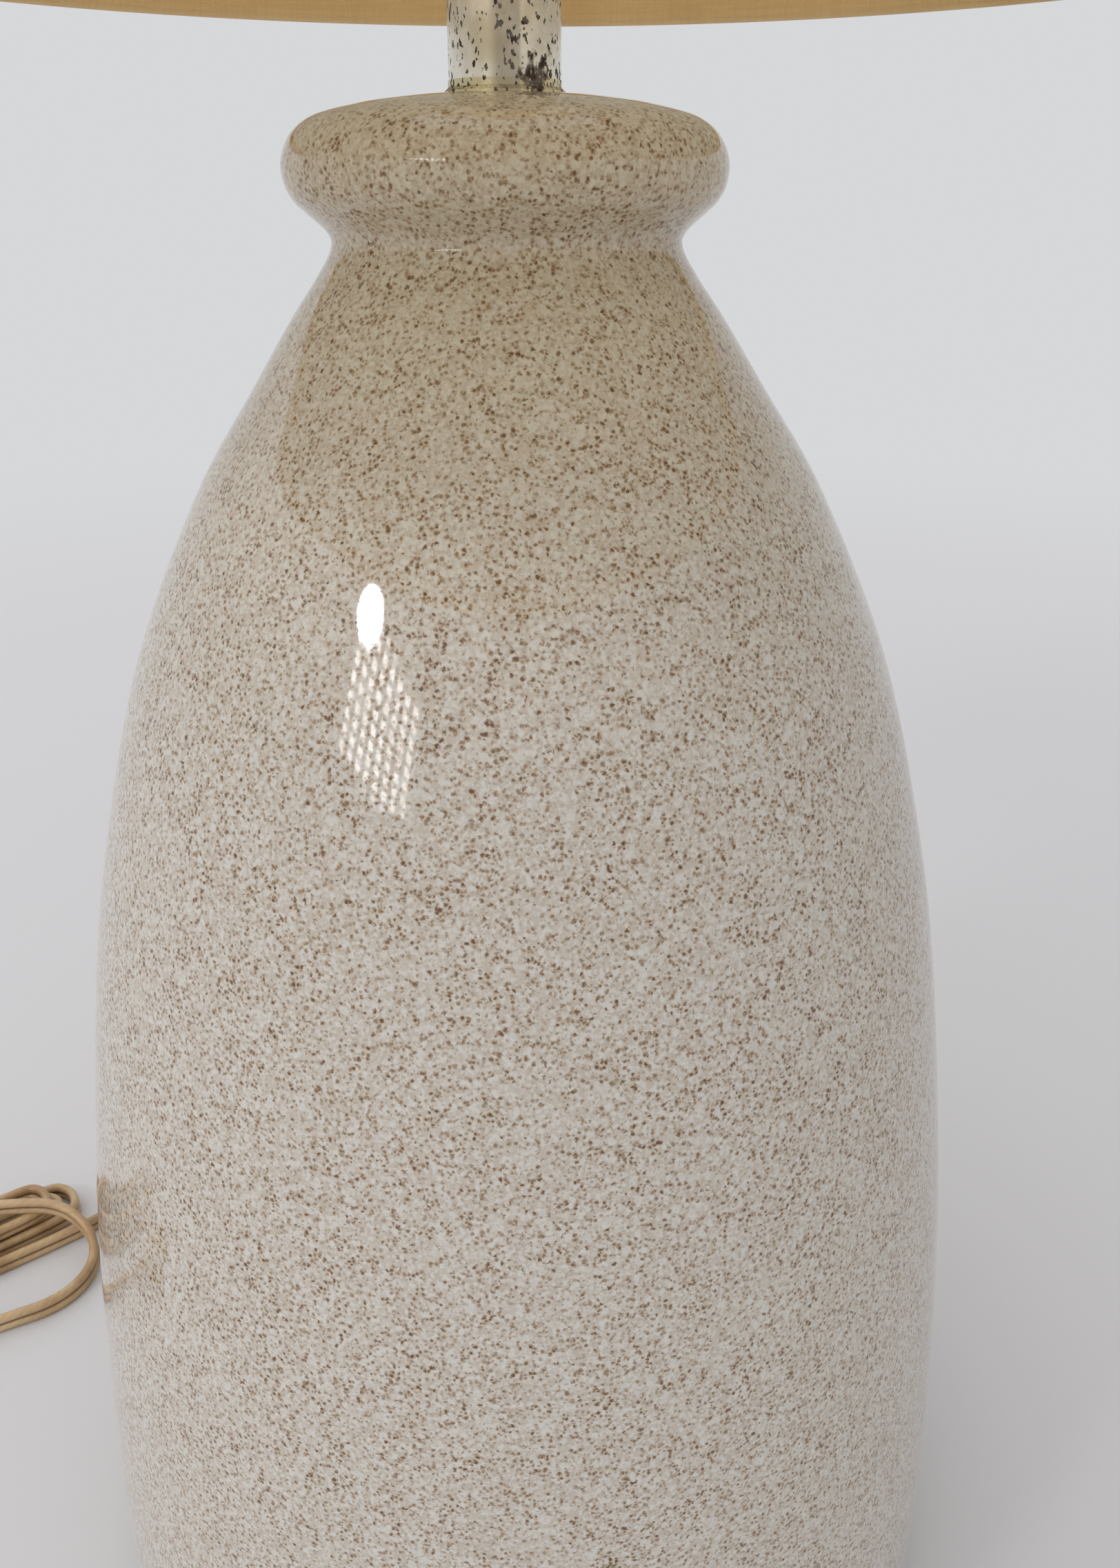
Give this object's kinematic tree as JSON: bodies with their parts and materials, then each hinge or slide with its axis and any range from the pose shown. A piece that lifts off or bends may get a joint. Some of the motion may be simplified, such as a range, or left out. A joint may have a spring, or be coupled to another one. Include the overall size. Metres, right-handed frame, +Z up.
{
  "type": "table lamp",
  "caption": "Table lamp with a bottle-shaped speckled ceramic body, a metal neck, a harp and a tapered drum shade.",
  "frame": {"origin": "centre of the foot, on the surface that the lamp stands on", "axes": "+Z up along the lamp's axis, -Y towards the front, where the switch is, and +X to the right"},
  "size_m": [0.5084, 0.4076, 0.6499],
  "materials": {
    "speckled_glaze": "gloss, speckled with brown",
    "green_felt": "felt",
    "tarnished_plate": "worn pale plating, pitted and tarnished",
    "steel": "zinc plated",
    "brass_wire": "satin",
    "socket_brass": "polished",
    "liner_card": "plain",
    "dark_moulding": "moulded, gloss",
    "bulb_white": "soft white inside coating",
    "clear_glass": "clear",
    "bulb_metal": "rolled",
    "filament_wire": "drawn wire",
    "shade_cloth": "plain woven linen on a stiff backing",
    "shade_inside": "pale smooth film",
    "tan_trim": "folded woven tape",
    "shade_wire": "lacquered",
    "golden_cord": "flexible moulding, satin",
    "copper_core": "insulated leads",
    "tie_band": "flexible band",
    "blade_metal": "plated"
  },
  "bodies": {
    "base": {"ceramic_body": "speckled_glaze", "felt_pad": "green_felt", "bottom_plate": "steel", "bottom_lock_washer": "steel", "bottom_nut": "steel", "lamp_rod": "steel", "neck_seat_ring": "tarnished_plate", "neck_tube": "tarnished_plate", "neck_cap": "tarnished_plate", "neck_lock_nut": "steel", "harp_saddle": "brass_wire", "socket_cap": "socket_brass", "cap_set_screw": "steel", "socket_shell": "socket_brass", "socket_liner": "liner_card", "socket_body": "dark_moulding", "hot_terminal_screw": "steel", "neutral_terminal_screw": "steel", "screw_shell": "socket_brass", "centre_contact": "socket_brass", "socket_leads": "copper_core", "cord_grommet": "golden_cord", "inner_cord": "golden_cord", "cord_lead": "golden_cord", "cord_hank": "golden_cord", "cord_tail": "golden_cord", "hank_tie": "tie_band", "plug_body": "golden_cord", "plug_blades": "blade_metal"},
    "harp_hoop": {"harp": "brass_wire", "harp_stud": "brass_wire"},
    "left_sleeve": {"harp_sleeve_left": "brass_wire"},
    "right_sleeve": {"harp_sleeve_right": "brass_wire"},
    "shade": {"shade_cover": "shade_cloth", "shade_lining": "shade_inside", "shade_top_frame": "shade_wire", "shade_bottom_ring": "shade_wire", "shade_bottom_trim": "tan_trim", "shade_top_trim": "tan_trim"},
    "finial_knob": {"finial": "brass_wire"},
    "bulb": {"bulb_glass": "bulb_white", "bulb_cap": "bulb_metal", "bulb_insulator": "dark_moulding", "bulb_tip": "bulb_metal", "bulb_stem": "clear_glass", "bulb_supports": "filament_wire", "bulb_filament": "filament_wire"},
    "switch": {"switch_shaft": "steel", "switch_knob": "dark_moulding"}
  },
  "joints": [
    {"name": "harp_lift", "type": "slide", "parent": "base", "child": "harp_hoop", "axis": [0, 0, 1], "range_m": [0, 0.03]},
    {"name": "left_sleeve_lift", "type": "slide", "parent": "harp_hoop", "child": "left_sleeve", "axis": [0, 0, 1], "range_m": [0, 0.016]},
    {"name": "right_sleeve_lift", "type": "slide", "parent": "harp_hoop", "child": "right_sleeve", "axis": [0, 0, 1], "range_m": [0, 0.016]},
    {"name": "shade_turn", "type": "hinge", "parent": "harp_hoop", "child": "shade", "pos_m": [0, 0, 0.62], "axis": [0, 0, 1], "continuous": true},
    {"name": "finial_turn", "type": "hinge", "parent": "harp_hoop", "child": "finial_knob", "pos_m": [0, 0, 0.622], "axis": [0, 0, 1], "continuous": true},
    {"name": "bulb_turn", "type": "hinge", "parent": "base", "child": "bulb", "pos_m": [0, 0, 0.43], "axis": [0, 0, 1], "continuous": true},
    {"name": "switch_turn", "type": "hinge", "parent": "base", "child": "switch", "pos_m": [0, -0.02, 0.4173], "axis": [0, -1, 0], "continuous": true}
  ]
}
